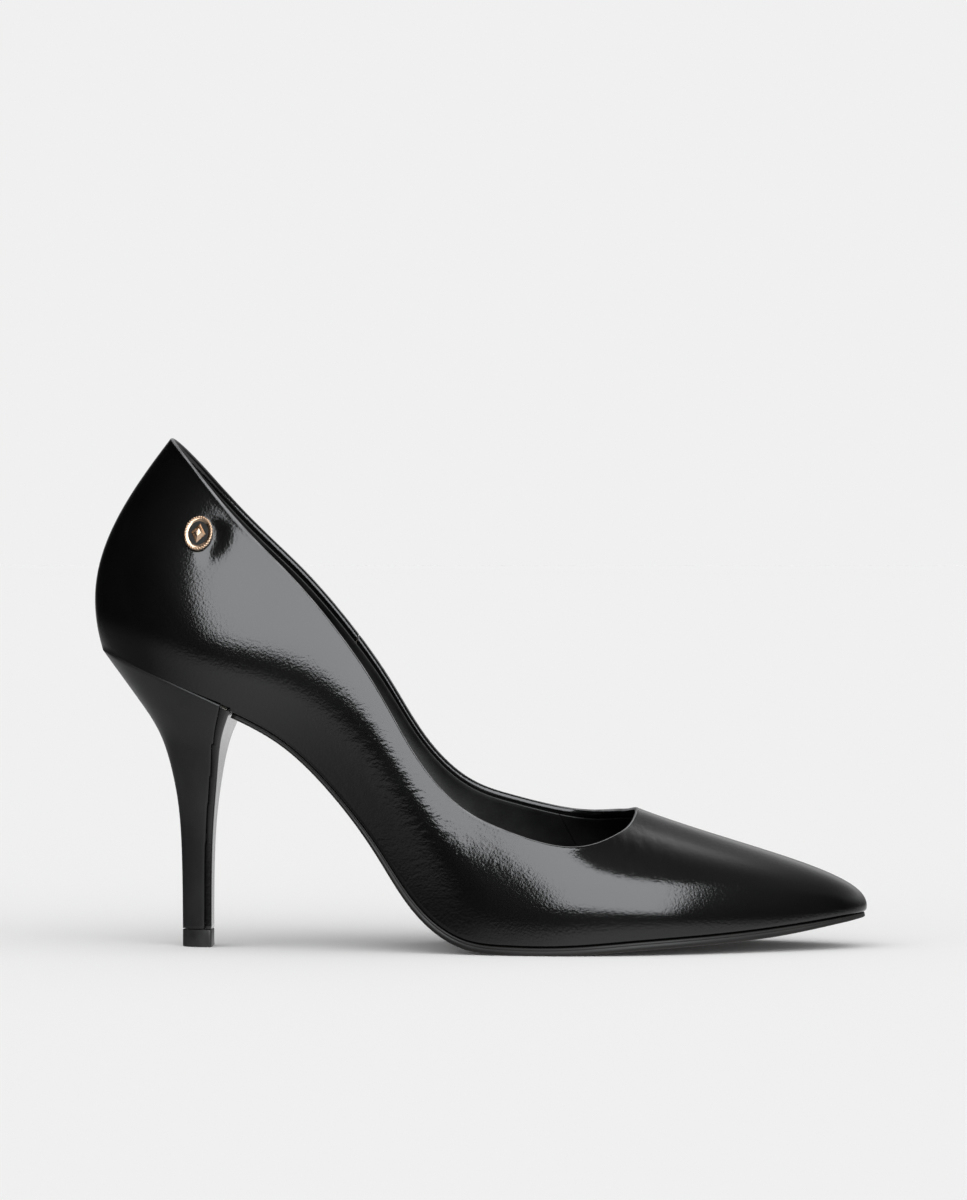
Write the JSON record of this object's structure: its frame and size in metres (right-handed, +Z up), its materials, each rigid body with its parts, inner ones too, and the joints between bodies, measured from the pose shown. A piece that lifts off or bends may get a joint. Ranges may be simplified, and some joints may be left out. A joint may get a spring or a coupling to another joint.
{
  "type": "high heel pump",
  "caption": "Women's pointed-toe pump with a slim covered stiletto heel, glossy leather upper and a small metal ornament on the outer quarter.",
  "frame": {"origin": "middle of the footprint, on the ground", "axes": "+X towards the toe, -Y towards the outer side of the foot, +Z up"},
  "size_m": [0.2384, 0.0744, 0.157],
  "materials": {
    "upper_leather": "high-gloss brushed black leather",
    "heel_leather": "glossy black leather wrap",
    "lining_leather": "matt black leather",
    "suede": "napped black suede",
    "fibreboard": "pressed cellulose board",
    "thermoplastic": "heat-formed stiffener sheet",
    "textile": "woven cotton backing",
    "steel": "plain steel",
    "foam": "felt and foam filling",
    "sole": "dark smooth sole with a painted edge",
    "heel_plastic": "moulded ABS",
    "top_piece_rubber": "matt black polyurethane",
    "gold": "polished pale gold plate"
  },
  "bodies": {
    "root": {"upper_vamp_and_outer_quarter": "upper_leather", "upper_inner_quarter": "upper_leather", "heel_counter": "fibreboard", "toe_puff": "thermoplastic", "vamp_interlining": "textile", "outer_quarter_interlining": "textile", "inner_quarter_interlining": "textile", "topline_tape": "textile", "vamp_lining": "lining_leather", "quarter_lining": "lining_leather", "heel_grip": "suede", "insole_shank_board": "fibreboard", "insole_forepart_board": "fibreboard", "steel_shank": "steel", "waist_filler": "foam", "forepart_filler": "foam", "sock_foam": "foam", "sock": "lining_leather", "shank_rivet_rear": "steel", "shank_rivet_front": "steel", "heel_screw": "steel", "heel_nail_1": "steel", "heel_nail_2": "steel", "heel_nail_3": "steel", "heel_nail_4": "steel", "outsole": "sole", "heel_core": "heel_plastic", "heel_cover": "heel_leather", "heel_breast_cover": "heel_leather", "heel_tube": "steel", "top_piece": "top_piece_rubber", "top_piece_pin": "steel", "ornament": "gold"}
  },
  "joints": []
}
